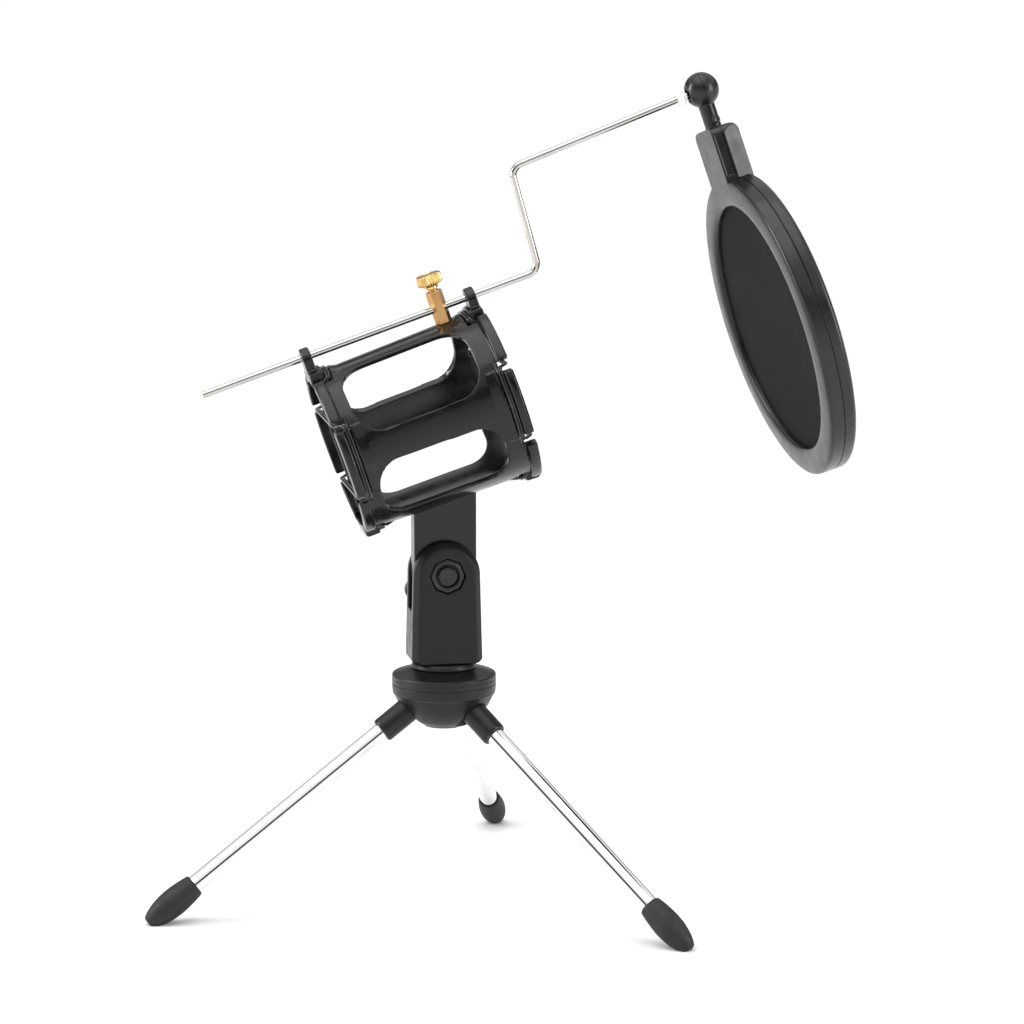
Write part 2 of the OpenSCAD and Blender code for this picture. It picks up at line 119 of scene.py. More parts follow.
def shade(ob, sharp=35):
    me = ob.data
    me.polygons.foreach_set("use_smooth", [True] * len(me.polygons))
    me.set_sharp_from_angle(angle=math.radians(sharp))
    me.update()


def lathe_data(profile, n=96, a0=0.0, a1=360.0, radius=None, loop=False):
    """Revolves (r, z) points about Z. loop: the profile is a closed ring. radius(r, z, angle) may change r."""
    full = abs(a1 - a0 - 360) < 1e-9
    steps = n if full else n + 1
    verts, rings = [], []
    for r, z in profile:
        if r < 1e-6:
            rings.append([len(verts)] * steps)
            verts.append((0.0, 0.0, z))
            continue
        ids = []
        for k in range(steps):
            a = math.radians(a0 + (a1 - a0) * k / n)
            q = radius(r, z, a) if radius else r
            ids.append(len(verts))
            verts.append((q * math.cos(a), q * math.sin(a), z))
        rings.append(ids)
    faces = []
    pairs = list(zip(rings, rings[1:]))
    if loop:
        pairs.append((rings[-1], rings[0]))
    for lo, hi in pairs:
        for k in range(n):
            k2 = (k + 1) % steps
            quad = []
            for v in (lo[k], lo[k2], hi[k2], hi[k]):
                if v not in quad:
                    quad.append(v)
            if len(quad) > 2:
                faces.append(quad)
    if not full:
        faces.append([r[0] for r in rings])
        faces.append([r[-1] for r in rings][::-1])
    return verts, faces


def lathe(name, profile, m, n=96, sharp=35, **kw):
    v, f = lathe_data(profile, n, **kw)
    return make(name, v, f, m, sharp)


def tube_data(points, r, n=16, closed=False, twist=None):
    """A round tube along points, with frames carried along the path and domed ends."""
    p = [Vector(q) for q in points]
    k = len(p)
    tangents = []
    for i in range(k):
        a = p[(i - 1) % k] if closed or i > 0 else p[i]
        b = p[(i + 1) % k] if closed or i < k - 1 else p[i]
        tangents.append((b - a).normalized())
    up = tangents[0].orthogonal().normalized()
    verts, faces = [], []
    for i in range(k):
        up = (up - tangents[i] * up.dot(tangents[i])).normalized()
        side = tangents[i].cross(up)
        for j in range(n):
            a = 2 * math.pi * j / n
            verts.append(p[i] + (up * math.cos(a) + side * math.sin(a)) * r)
    segs = k if closed else k - 1
    shift = 0
    if closed:  # line the last ring up with the first
        last = verts[(k - 1) * n] - p[-1]
        best = min(range(n), key=lambda s: -(verts[s] - p[0]).dot(last))
        shift = best
    for i in range(segs):
        i2 = (i + 1) % k
        s = shift if closed and i2 == 0 else 0
        for j in range(n):
            faces.append([i * n + j, i * n + (j + 1) % n, i2 * n + (j + 1 + s) % n, i2 * n + (j + s) % n])
    if not closed:
        for base, sign, t in ((0, -1, tangents[0]), ((k - 1) * n, 1, tangents[-1])):
            c = p[0] if base == 0 else p[-1]
            mid = []
            for j in range(n):
                mid.append(len(verts))
                verts.append(c + (verts[base + j] - c) * 0.82 + t * sign * r * 0.16)
            for j in range(n):
                faces.append([base + j, base + (j + 1) % n, mid[(j + 1) % n], mid[j]])
            faces.append(mid)
    return verts, faces


def box_data(x0, x1, y0, y1, z0, z1):
    v = [(x, y, z) for x in (x0, x1) for y in (y0, y1) for z in (z0, z1)]
    return v, [(0, 1, 3, 2), (4, 6, 7, 5), (0, 4, 5, 1), (2, 3, 7, 6), (0, 2, 6, 4), (1, 5, 7, 3)]


def prism_data(points, z0, z1):
    n = len(points)
    v = [(x, y, z0) for x, y in points] + [(x, y, z1) for x, y in points]
    f = [list(range(n))[::-1], list(range(n, 2 * n))]
    f += [[i, (i + 1) % n, n + (i + 1) % n, n + i] for i in range(n)]
    return v, f


def applied(ob, sharp=35):
    """Replaces an object's mesh by its evaluated mesh, and drops the modifiers."""
    bpy.context.view_layer.update()
    dg = bpy.context.evaluated_depsgraph_get()
    me = bpy.data.meshes.new_from_object(ob.evaluated_get(dg))
    ob.modifiers.clear()
    old = ob.data
    ob.data = me
    bpy.data.meshes.remove(old)
    shade(ob, sharp)
    return ob


def boolean(ob, other, op="DIFFERENCE", keep=False, sharp=35):
    b = ob.modifiers.new("b", "BOOLEAN")
    b.object, b.operation, b.solver = other, op, "EXACT"
    applied(ob, sharp)
    if not keep:
        bpy.data.objects.remove(other)
    return ob


def bevelled(ob, width, segments=2, angle=30, sharp=35):
    b = ob.modifiers.new("v", "BEVEL")
    b.width, b.segments, b.limit_method = width, segments, "ANGLE"
    b.angle_limit = math.radians(angle)
    b.use_clamp_overlap = True
    return applied(ob, sharp)


def tidy(ob, angle=1.2):
    bm = bmesh.new()
    bm.from_mesh(ob.data)
    bmesh.ops.remove_doubles(bm, verts=bm.verts, dist=1e-6)
    bmesh.ops.dissolve_limit(bm, angle_limit=math.radians(angle), verts=bm.verts, edges=bm.edges, use_dissolve_boundaries=False)
    bm.to_mesh(ob.data)
    bm.free()
    return ob


def softened(ob, voxel, passes, snap=None):
    """Turns a closed mesh into a fine voxel surface with moulded edges; snap puts points back on true radii."""
    r = ob.modifiers.new("r", "REMESH")
    r.mode, r.voxel_size, r.adaptivity = "VOXEL", voxel, 0.0
    s = ob.modifiers.new("s", "SMOOTH")
    s.factor, s.iterations = 0.5, passes
    applied(ob, 180)
    me = ob.data
    if snap:
        co = np.empty(len(me.vertices) * 3)
        me.vertices.foreach_get("co", co)
        nn = np.empty(len(me.vertices) * 3)
        me.vertices.foreach_get("normal", nn)
        me.vertices.foreach_set("co", snap(co.reshape(-1, 3), nn.reshape(-1, 3)).ravel())
    me.update()
    return ob


def remeshed(node, name, m, voxel=0.35, passes=4, snap=None):
    """A smooth-edged copy of a CAD node, worked in the part's own frame m so that flat faces stay flat."""
    me = nodes[node].data.copy()
    me.name = name
    me.transform(m.inverted())
    ob = bpy.data.objects.new(name, me)
    bpy.context.scene.collection.objects.link(ob)
    bm = bmesh.new()
    bm.from_mesh(me)
    bmesh.ops.remove_doubles(bm, verts=bm.verts, dist=1e-3)
    bm.to_mesh(me)
    bm.free()
    softened(ob, voxel, passes, snap)
    count = sum(len(p.vertices) - 2 for p in ob.data.polygons)
    if count > 190000:
        thin = ob.modifiers.new("thin", "DECIMATE")
        thin.ratio = 190000 / count
        lean = bpy.data.meshes.new_from_object(ob.evaluated_get(bpy.context.evaluated_depsgraph_get()))
        ob.modifiers.clear()
        ob.data = lean
        lean.name = name
        lean.polygons.foreach_set("use_smooth", [True] * len(lean.polygons))
    ob.data.transform(m)
    ob.data.materials.clear()
    ob.data.update()
    return ob


# ---------------------------------------------------------------- materials
def base_mat(name, color, rough, metal=0.0, spec=0.5, coat=0.0, coat_rough=0.1, sheen=0.0):
    m = bpy.data.materials.new(name)
    m.use_nodes = True
    nt = m.node_tree
    p = nt.nodes["Principled BSDF"]
    p.inputs["Base Color"].default_value = (*color, 1)
    p.inputs["Roughness"].default_value = rough
    p.inputs["Metallic"].default_value = metal
    p.inputs["Specular IOR Level"].default_value = spec
    p.inputs["Coat Weight"].default_value = coat
    p.inputs["Coat Roughness"].default_value = coat_rough
    p.inputs["Sheen Weight"].default_value = sheen
    tc = nt.nodes.new("ShaderNodeTexCoord")
    return m, nt, p, tc.outputs["Object"]


def noise(nt, co, scale, detail=3.0, rough=0.5, stretch=None):
    if stretch:
        mp = nt.nodes.new("ShaderNodeMapping")
        mp.inputs["Scale"].default_value = stretch
        nt.links.new(co, mp.inputs["Vector"])
        co = mp.outputs["Vector"]
    n = nt.nodes.new("ShaderNodeTexNoise")
    n.inputs["Scale"].default_value = scale
    n.inputs["Detail"].default_value = detail
    n.inputs["Roughness"].default_value = rough
    nt.links.new(co, n.inputs["Vector"])
    return n.outputs["Fac"]


def spread(nt, fac, lo, hi, a=0.3, b=0.7):
    r = nt.nodes.new("ShaderNodeMapRange")
    r.inputs["From Min"].default_value, r.inputs["From Max"].default_value = a, b
    r.inputs["To Min"].default_value, r.inputs["To Max"].default_value = lo, hi
    nt.links.new(fac, r.inputs["Value"])
    return r.outputs["Result"]


def mix_color(nt, fac, c1, c2):
    x = nt.nodes.new("ShaderNodeMix")
    x.data_type = "RGBA"
    x.inputs["A"].default_value = (*c1, 1)
    x.inputs["B"].default_value = (*c2, 1)
    nt.links.new(fac, x.inputs["Factor"])
    return x.outputs["Result"]


def bump(nt, p, height, strength, distance, normal=None):
    b = nt.nodes.new("ShaderNodeBump")
    b.inputs["Strength"].default_value = strength
    b.inputs["Distance"].default_value = distance
    nt.links.new(height, b.inputs["Height"])
    if normal is not None:
        nt.links.new(normal, b.inputs["Normal"])
    nt.links.new(b.outputs["Normal"], p.inputs["Normal"])
    return b.outputs["Normal"]


def plastic(name, color, rough, grain=1.0, spec=0.5, vary=0.25):
    """Moulded black plastic: spark-eroded grain, slow gloss variation, and faint handling marks."""
    m, nt, p, co = base_mat(name, color, rough, spec=spec)
    slow = noise(nt, co, 38, 4)
    c = mix_color(nt, spread(nt, slow, 0, 1), [x * (1 - vary) for x in color], [x * (1 + vary) for x in color])
    nt.links.new(c, p.inputs["Base Color"])
    smear = noise(nt, co, 160, 5, 0.6)
    nt.links.new(spread(nt, smear, rough - 0.06, rough + 0.09), p.inputs["Roughness"])
    fine = noise(nt, co, 2600, 2)
    coarse = noise(nt, co, 420, 2)
    n1 = bump(nt, p, fine, 0.22 * grain, 0.00006)
    bump(nt, p, coarse, 0.05 * grain, 0.0002, n1)
    return m


def metal(name, color, rough, vary=0.05, brush=None, tint=None):
    m, nt, p, co = base_mat(name, color, rough, metal=1.0)
    slow = noise(nt, co, 90, 4)
    dark = tint or [x * 0.86 for x in color]
    nt.links.new(mix_color(nt, spread(nt, slow, 0, 1, 0.35, 0.75), color, dark), p.inputs["Base Color"])
    smear = noise(nt, co, 240, 5, 0.6)
    nt.links.new(spread(nt, smear, max(rough - vary, 0.01), rough + vary), p.inputs["Roughness"])
    fine = noise(nt, co, 900, 2, stretch=brush)
    bump(nt, p, fine, 0.05, 0.00004)
    return m


M = {}
M["black_abs"] = plastic("hub_plastic", (0.0080, 0.0078, 0.0075), 0.35, 0.9, 0.32)
M["yoke_abs"] = plastic("yoke_plastic", (0.0068, 0.0062, 0.0058), 0.32, 1.1, 0.28)
M["cage_abs"] = plastic("cage_plastic", (0.0045, 0.0045, 0.0044), 0.20, 0.4, 0.40)
M["knob_abs"] = plastic("knob_plastic", (0.008, 0.008, 0.008), 0.34, 0.8, 0.30)
M["filter_abs"] = plastic("filter_plastic", (0.0085, 0.0088, 0.0092), 0.27, 0.8, 0.42)
M["black_nut"] = plastic("nut_black_oxide", (0.012, 0.012, 0.012), 0.34, 1.4, 0.4)
M["leg_chrome"] = metal("leg_chrome", (0.90, 0.90, 0.91), 0.045, 0.02, tint=(0.82, 0.82, 0.84))
M["rod_steel"] = metal("rod_steel", (0.56, 0.545, 0.52), 0.10, 0.04)
M["ball_steel"] = metal("ball_steel", (0.66, 0.66, 0.67), 0.12)
M["zinc"] = metal("bright_zinc", (0.76, 0.77, 0.80), 0.24, 0.08)
M["brass_post"] = metal("brass_satin", (0.58, 0.34, 0.14), 0.30, 0.08, tint=(0.42, 0.23, 0.09))
M["brass_knurl"] = metal("brass_knurled", (0.80, 0.56, 0.24), 0.22, 0.07, tint=(0.66, 0.42, 0.16))


def rubber():
    m, nt, p, co = base_mat("foot_rubber", (0.012, 0.012, 0.012), 0.56, spec=0.35)
    slow = noise(nt, co, 120, 5, 0.65)
    nt.links.new(mix_color(nt, spread(nt, slow, 0, 1, 0.35, 0.7), (0.010, 0.010, 0.010), (0.021, 0.020, 0.019)), p.inputs["Base Color"])
    nt.links.new(spread(nt, noise(nt, co, 300, 4), 0.46, 0.66), p.inputs["Roughness"])
    n1 = bump(nt, p, noise(nt, co, 1700, 3), 0.35, 0.00012)
    bump(nt, p, noise(nt, co, 200, 3), 0.18, 0.0004, n1)
    return m


M["foot_rubber"] = rubber()


def elastic():
    """Black rubber cord: satin skin with faint lengthwise draw marks and dusty patches."""
    m, nt, p, co = base_mat("rubber_cord", (0.012, 0.012, 0.012), 0.20, spec=0.5)
    dust = noise(nt, co, 260, 5, 0.65)
    nt.links.new(mix_color(nt, spread(nt, dust, 0, 1, 0.4, 0.75), (0.009, 0.009, 0.009), (0.026, 0.025, 0.024)), p.inputs["Base Color"])
    nt.links.new(spread(nt, noise(nt, co, 500, 4), 0.14, 0.28), p.inputs["Roughness"])
    bump(nt, p, noise(nt, co, 2200, 3), 0.25, 0.00008)
    return m


M["elastic"] = elastic()


def mesh_cloth():
    """Fine warp-knitted nylon: two crossed rib directions with small dark holes, and lint."""
    m, nt, p, co = base_mat("mesh_nylon", (0.020, 0.019, 0.019), 0.85, spec=0.08, sheen=0.03)
    p.inputs["Sheen Roughness"].default_value = 0.5
    p.inputs["Sheen Tint"].default_value = (0.8, 0.75, 0.75, 1)
    facs = []
    for rot, scale in ((0.0, 560.0), (math.radians(60), 560.0), (math.radians(-60), 560.0)):
        mp = nt.nodes.new("ShaderNodeMapping")
        mp.inputs["Rotation"].default_value = (rot, 0, 0)
        nt.links.new(co, mp.inputs["Vector"])
        w = nt.nodes.new("ShaderNodeTexWave")
        w.wave_type, w.bands_direction, w.wave_profile = "BANDS", "Z", "SIN"
        w.inputs["Scale"].default_value = scale
        w.inputs["Distortion"].default_value = 0.4
        w.inputs["Detail Scale"].default_value = 1.0
        nt.links.new(mp.outputs["Vector"], w.inputs["Vector"])
        facs.append(w.outputs["Fac"])
    add = nt.nodes.new("ShaderNodeMath")
    add.operation = "MULTIPLY"
    nt.links.new(facs[0], add.inputs[0])
    nt.links.new(facs[1], add.inputs[1])
    add2 = nt.nodes.new("ShaderNodeMath")
    add2.operation = "ADD"
    nt.links.new(add.outputs[0], add2.inputs[0])
    nt.links.new(facs[2], add2.inputs[1])
    knit = spread(nt, add2.outputs[0], 0, 1, 0.15, 1.3)
    cloudy = noise(nt, co, 55, 4)
    both = nt.nodes.new("ShaderNodeMath")
    both.operation = "MULTIPLY"
    nt.links.new(knit, both.inputs[0])
    nt.links.new(spread(nt, cloudy, 0.75, 1.15), both.inputs[1])
    cloth = mix_color(nt, both.outputs[0], (0.003, 0.0028, 0.0028), (0.019, 0.0175, 0.0175))
    speck = spread(nt, noise(nt, co, 1150, 1), 0, 1, 0.80, 0.84)
    lint = nt.nodes.new("ShaderNodeMix")
    lint.data_type = "RGBA"
    lint.inputs["B"].default_value = (0.30, 0.29, 0.28, 1)
    nt.links.new(speck, lint.inputs["Factor"])
    nt.links.new(cloth, lint.inputs["A"])
    nt.links.new(lint.outputs["Result"], p.inputs["Base Color"])
    bump(nt, p, knit, 0.6, 0.00018)
    return m


M["mesh_fabric"] = mesh_cloth()


def finish_piece(ob, mat, body, stands_for=()):
    ob.data.materials.clear()
    ob.data.materials.append(M[mat])
    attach(ob, body)
    if stands_for:
        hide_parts(*([stands_for] if isinstance(stands_for, str) else stands_for))
    return ob


def dress(node, mat):
    ob = nodes[node]
    if not ob.material_slots:
        ob.data.materials.append(M[mat])
    for s in ob.material_slots:
        s.material = M[mat]


# ---------------------------------------------------------------- tripod hub
def rounded_profile(points, r=0.35, n=3):
    """Rounds the corners of an (r, z) polyline. Points on the axis stay."""
    out = [points[0]]
    for i in range(1, len(points) - 1):
        a, b, c = Vector(points[i - 1]), Vector(points[i]), Vector(points[i + 1])
        u, v = a - b, c - b
        lu, lv = u.length, v.length
        if lu < 1e-6 or lv < 1e-6:
            continue
        turn = math.pi - u.angle(v)
        if turn < math.radians(8):
            out.append(tuple(b))
            continue
        d = min(r, lu * 0.45, lv * 0.45)
        p0, p1 = b + u / lu * d, b + v / lv * d
        for k in range(n + 1):
            t = k / n
            out.append(tuple(p0 * (1 - t) ** 2 + b * 2 * t * (1 - t) + p1 * t * t))
    out.append(points[-1])
    return out


cap_prof = [(4.8, -4.38), (22.22, -4.38), (22.36, -4.2), (22.38, -2.45), (22.22, -2.3), (22.22, -2.1), (22.38, -1.95), (22.38, -0.7),
            (22.1, -0.2), (21.5, 0.1), (14.6, 1.9), (13.2, 2.38), (4.8, 2.38)]
hub_cap = lathe("hub_cap_moulding", rounded_profile(cap_prof, 0.12), HEAD @ tr(0, 0, RIM), 192, loop=True)
finish_piece(hub_cap, "black_abs", "tripod", "hub_cap")

hub_prof = [(0, -23), (8.8, -23), (9.8, -22.7), (13.6, -20.3), (15.5, -18.6), (17, -16.9), (18.5, -14.9), (19.7, -12.9), (20.7, -10.9),
            (21.45, -9.1), (21.75, -8.85), (22.05, -8.6), (22.3, -7), (22.38, -5.6), (22.38, -4.55), (22.28, -4.42), (0, -4.42)]
hub = lathe("hub_bowl_moulding", rounded_profile(hub_prof, 0.1), HEAD @ tr(0, 0, RIM), 192)
for i in range(3):
    base = HEAD @ rz(LEG_TURN + 120 * i) @ tr(HX, 0, HZ)
    slot_r = 5.88
    pts = []
    # a thick fan: a swept capsule from the open leg down to the folded leg
    fan = []
    for k in range(0, 10):
        a = math.radians(-LEG_DROP - k * 54 / 9)
        fan.append((44 * math.cos(a), 44 * math.sin(a)))
    v, f = prism_data([(-0.01, 0.01)] + fan, -slot_r, slot_r)
    cutter = make("cut", v, f, base @ rx(90))
    for e in (0, 54):
        prof = [(0, -slot_r)] + [(slot_r * math.sin(math.radians(t)), -slot_r * math.cos(math.radians(t))) for t in range(10, 90, 10)]
        prof += [(slot_r, 0), (slot_r, 44), (0, 44)]
        v, f = lathe_data(prof, 48)
        rod_cut = make("cut2", v, f, base @ ry(90 + LEG_DROP + e))
        boolean(cutter, rod_cut, "UNION")
    boolean(hub, cutter)
v, f = lathe_data([(0, -25), (4.0, -25), (4.0, -20), (0, -20)], 64)
boolean(hub, make("cut", v, f, HEAD @ tr(0, 0, RIM)))
shade(hub, 32)
finish_piece(hub, "black_abs", "tripod", "hub_body")

collar_prof = [(4.8, 2.42), (13.6, 2.42), (14.0, 2.8), (14.0, 3.6), (13.2, 5.08), (4.8, 5.08)]
collar = lathe("lock_ring", rounded_profile(collar_prof, 0.3), HEAD @ tr(0, 0, RIM), 160, loop=True)
finish_piece(collar, "black_abs", "tripod", "lock_collar")
dress("hub_screw", "zinc")
dress("threaded_stud", "zinc")
dress("leg_pins", "zinc")

# ---------------------------------------------------------------- legs
foot_prof = [(0, 156.05), (4.02, 156.05), (4.02, 137.9), (4.2, 137.5), (4.6, 137.5), (4.95, 138.2), (5.55, 142), (5.95, 146.5),
             (6, 149.5), (5.75, 153), (5.1, 156.6), (4.1, 159.8), (3, 162), (2.15, 162.7), (0, LEG_LEN)]


def smooth_profile(points, n=5):
    """Catmull-Rom through (r, z) points."""
    out = []
    for i in range(len(points) - 1):
        p0 = Vector(points[max(i - 1, 0)])
        p1, p2 = Vector(points[i]), Vector(points[i + 1])
        p3 = Vector(points[min(i + 2, len(points) - 1)])
        for k in range(n):
            t = k / n
            q = 0.5 * ((2 * p1) + (p2 - p0) * t + (2 * p0 - 5 * p1 + 4 * p2 - p3) * t * t + (3 * p1 - p0 - 3 * p2 + p3) * t ** 3)
            out.append((max(q[0], 0), q[1]))
    out.append(points[-1])
    return out


for i in range(3):
    body = f"leg_{i + 1}"
    lm = leg_m(i)
    sl = [(0, 17 - 5.5)] + [(5.5 * math.sin(math.radians(t)), 17 - 5.5 * math.cos(math.radians(t))) for t in range(6, 90, 6)]
    sl += [(5.5, 17), (5.48, 33.9), (5.3, 34.6), (4.9, 34.95), (4.3, 35), (4.06, 34.9), (4.06, 22), (0, 22)]
    sleeve = lathe(f"leg_sleeve_moulding_{i + 1}", sl, lm, 72)
    finish_piece(sleeve, "black_abs", body, f"leg_sleeve_{i + 1}")
    tp = [(3.3, 22.1), (3.95, 22.1), (4.0, 22.3), (4.0, 155.8), (3.3, 155.8)]
    tube = lathe(f"leg_tube_chromed_{i + 1}", tp, lm, 96, loop=True)
    finish_piece(tube, "leg_chrome", body, f"leg_tube_{i + 1}")
    outer = smooth_profile(foot_prof[4:], 5)
    foot = lathe(f"leg_foot_rubber_{i + 1}", foot_prof[:4] + outer, lm, 96, sharp=50)
    bm = bmesh.new()
    bm.from_mesh(foot.data)
    g = bmesh.ops.bisect_plane(bm, geom=bm.verts[:] + bm.edges[:] + bm.faces[:], dist=1e-7, plane_co=(0, 0, 0.00001), plane_no=(0, 0, -1), clear_outer=True)
    cut = [e for e in g["geom_cut"] if isinstance(e, bmesh.types.BMEdge)]
    if cut:
        bmesh.ops.holes_fill(bm, edges=cut, sides=0)
    bmesh.ops.recalc_face_normals(bm, faces=bm.faces)
    bm.to_mesh(foot.data)
    bm.free()
    shade(foot, 50)
    finish_piece(foot, "foot_rubber", body, f"leg_foot_{i + 1}")

# ---------------------------------------------------------------- yoke, nut, knob
yoke = remeshed("yoke", "yoke_moulding", HEAD, 0.36, 5)
finish_piece(yoke, "yoke_abs", "yoke", "yoke")
dress("thread_insert", "brass_post")

nut_m = HEAD @ tr(0, -YOKE_D + 3.2, PIVOT_Z) @ rx(90)
# the flanged nut fills its eight-sided pocket; inside a dark ring groove sits the rough end of the bolt
flange = [(3.05, 0.0), (7.3, 0.0), (7.55, 0.2), (7.6, 0.5), (7.6, 1.5), (7.3, 2.2), (6.6, 2.75), (6.0, 2.85), (5.5, 2.75), (5.0, 2.4), (4.8, 1.9), (4.8, 0.5), (3.05, 0.5)]


def octagon(r, z, a):
    """Eight-sided at the outside, round towards the middle."""
    corner = abs((math.degrees(a) + 22.5) % 45 - 22.5) / 22.5
    k = max(0.0, min(1.0, (r - 5.2) / 2.2))
    return r * (1 - k * 0.072 * corner**2)


nut = lathe("pivot_nut_flange", flange, nut_m, 128, loop=True, sharp=40, radius=octagon)


def rough_end(r, z, a):
    return r * (1 - 0.035 * abs(math.sin(4 * a)) ** 2)


end_prof = [(0, 0.6), (4.0, 0.6), (4.05, 0.8), (4.05, 2.7), (3.85, 3.15), (3.4, 3.3), (3.0, 3.26), (1.6, 3.14), (0, 3.12)]
bolt_end = lathe("pivot_bolt_end", end_prof, nut_m, 96, radius=rough_end)
finish_piece(nut, "black_nut", "yoke", "pivot_nut")
finish_piece(bolt_end, "black_nut", "wing_knob")
dress("pivot_bolt", "zinc")
dress("knob_washer", "zinc")
knob = remeshed("wing_knob", "wing_knob_moulding", HEAD, 0.34, 5)
finish_piece(knob, "knob_abs", "wing_knob", "wing_knob")

# ---------------------------------------------------------------- cage
def snap_cage(local, normals):
    """Moves points that lie on the cage's true cones exactly onto them; points on rounded edges stay."""
    x, y, z = local.T
    r = np.hypot(y, z)
    nominal = CR1 + (CR2 - CR1) * (x + CL) / (2 * CL)
    off = r - nominal
    shift = np.zeros_like(off)
    around = np.degrees(np.arctan2(np.abs(z), np.abs(y)))
    pad = np.where(around < 27, 3.2, np.where(around > 70, 2.8, np.where(x > 0, 2.8, 1.4)))
    high = np.where(np.abs(x) > 25, 0.08, 0.3)
    for t, near in (
        (-WALL, (off > -WALL - 1.1) & (off < -WALL + 0.3)),
        (0.0, (off > -0.8) & (off < high)),
        (pad, (off > pad - 0.7) & (off < pad + 0.2) & (np.abs(x) > CL - LIP)),
    ):
        shift = np.where(near, t - off, shift)
    facing = np.abs((normals[:, 1] * y + normals[:, 2] * z) / np.maximum(r, 1e-6))
    weight = np.clip((facing - 0.955) / 0.03, 0, 1)
    weight = weight * weight * (3 - 2 * weight) * ((np.abs(x) < CL - 0.6) & (r > 28))
    scale = (r + shift * weight) / np.maximum(r, 1e-6)
    return np.column_stack([x, y * scale, z * scale])


cage = remeshed("cage", "cage_moulding", CAGE, 0.38, 4, snap_cage)
finish_piece(cage, "cage_abs", "cage", "cage")


def loop_path(x, d, out):
    """One elastic loop: arcs in the plane x behind the tabs, and straight strands at z = +-d set further out by `out`."""
    rr = cage_r(x) + BAND_R + 0.06
    a = math.asin(d / rr)
    e = rr * math.cos(a)
    near = e - 4.2
    pts = []

    def arc_half(sign):
        return [Vector((x, sign * rr * math.cos(t), sign * rr * math.sin(t))) for t in [-a + 2 * a * k / 24 for k in range(25)]]

    def strand(sign):
        y = sign * near
        n = 24
        return [Vector((x + out, y - 2 * y * k / n, sign * d)) for k in range(n + 1)]

    raw = arc_half(1) + strand(1) + arc_half(-1) + strand(-1)
    # round off every turn by averaging along a densely spaced copy
    dense = []
    for i, p in enumerate(raw):
        q = raw[(i + 1) % len(raw)]
        k = max(1, int((q - p).length / 0.5))
        dense += [p + (q - p) * j / k for j in range(k)]
    for _ in range(5):
        dense = [(dense[i - 1] + dense[i] * 2 + dense[(i + 1) % len(dense)]) / 4 for i in range(len(dense))]
    return dense[::2]


for s, end in ((-1, "rear"), (1, "front")):
    for kind, plane, d, out in (("level", LEVEL_X, BAND_Z, 3.9), ("upright", UPRIGHT_X, BAND_Y, 4.2)):
        verts, faces = [], []
        for o in (-0.56, 0.56):
            v, f = tube_data(loop_path(s * plane + o, d, s * out), 0.55, 14, closed=True)
            faces += [[i + len(verts) for i in q] for q in f]
            verts += v
        m = CAGE if kind == "level" else CAGE @ rx(90)
        band = make(f"elastic_{end}_{kind}", verts, faces, m, 60)
        finish_piece(band, "elastic", "cage", f"band_{end}_{kind}")

# brass post with chamfered ends, and its screw
NX = 23.0
post_m = CAGE @ tr(NX, 0, 36.3)
v, f = lathe_data([(0, 0), (3.3, 0), (3.6, 0.35), (3.6, 14.0), (3.25, 14.5), (2.3, 14.5), (2.06, 14.2), (2.06, 7.0), (0, 7.0)], 6)
post = make("brass_clamp_post", v, f, post_m, 20)
v, f = lathe_data([(0, -10), (1.58, -10), (1.58, 10), (0, 10)], 48)
boolean(post, make("cut", v, f, post_m @ tr(0, 0, ROD_H - 36.3) @ ALONG), sharp=20)
finish_piece(post, "brass_post", "cage", "brass_post")
dress("post_screw", "zinc")

# knurled thumb screw: straight knurl, crowned top, stepped neck, threaded shank
thread = []
z = ROD_H + ROD_R + 0.08
while z < 51.6:
    thread += [(1.98, z), (1.98, z + 0.12), (1.68, z + 0.34), (1.68, z + 0.42)]
    z += 0.66
head = [(0, ROD_H + ROD_R + 0.08)] + thread + [(1.9, 52.0), (2.75, 52.0), (2.8, 52.2), (2.8, 53.0), (3.4, 53.0), (4.3, 53.75)]
knurl = [(4.9, 53.9), (5.3, 54.25), (5.48, 54.5), (5.48, 55.2), (5.48, 56.0), (5.48, 56.8), (5.48, 57.6), (5.25, 57.95), (4.8, 58.25)]
top = [(3.6, 58.28), (3.4, 58.1), (1.5, 58.1), (0, 58.1)]


def knurl_r(r, z, a):
    if 54.2 < z < 57.9 and r > 5.2:
        return r - 0.42 * (0.5 - 0.5 * math.cos(30 * a)) ** 0.8
    return r


v, f = lathe_data(head + knurl + top, 240, radius=knurl_r)
thumb = make("knurled_thumb_screw", v, f, CAGE @ tr(NX, 0, 0), 40)
finish_piece(thumb, "brass_knurl", "thumb_screw", "thumb_screw")

# ---------------------------------------------------------------- rod, nut, ball
h2 = math.radians(90 - LEAN)
cl = math.radians(CLIMB)


def rod_path():
    pts = [(ROD_REAR + 0.3, ROD_H)]

    def corner(p, h, t, out):
        d = BEND * math.tan(abs(t) / 2)
        s = 1 if t > 0 else -1
        cx = p[0] - d * math.cos(h) - s * BEND * math.sin(h)
        cz = p[1] - d * math.sin(h) + s * BEND * math.cos(h)
        for k in range(25):
            a = h - s * math.pi / 2 + t * k / 24
            out.append((cx + BEND * math.cos(a), cz + BEND * math.sin(a)))

    for k in range(1, 12):
        pts.append((ROD_REAR + (ROD_C1 - 6 - ROD_REAR) * k / 12, ROD_H))
    corner((ROD_C1, ROD_H), 0, h2, pts)
    corner((C2X, C2Z), h2, cl - h2, pts)
    for k in range(1, 13):
        q = 6 + (FAR - 6.2) * k / 12
        pts.append((C2X + q * math.cos(cl), C2Z + q * math.sin(cl)))
    return [(x, 0, zz) for x, zz in pts]


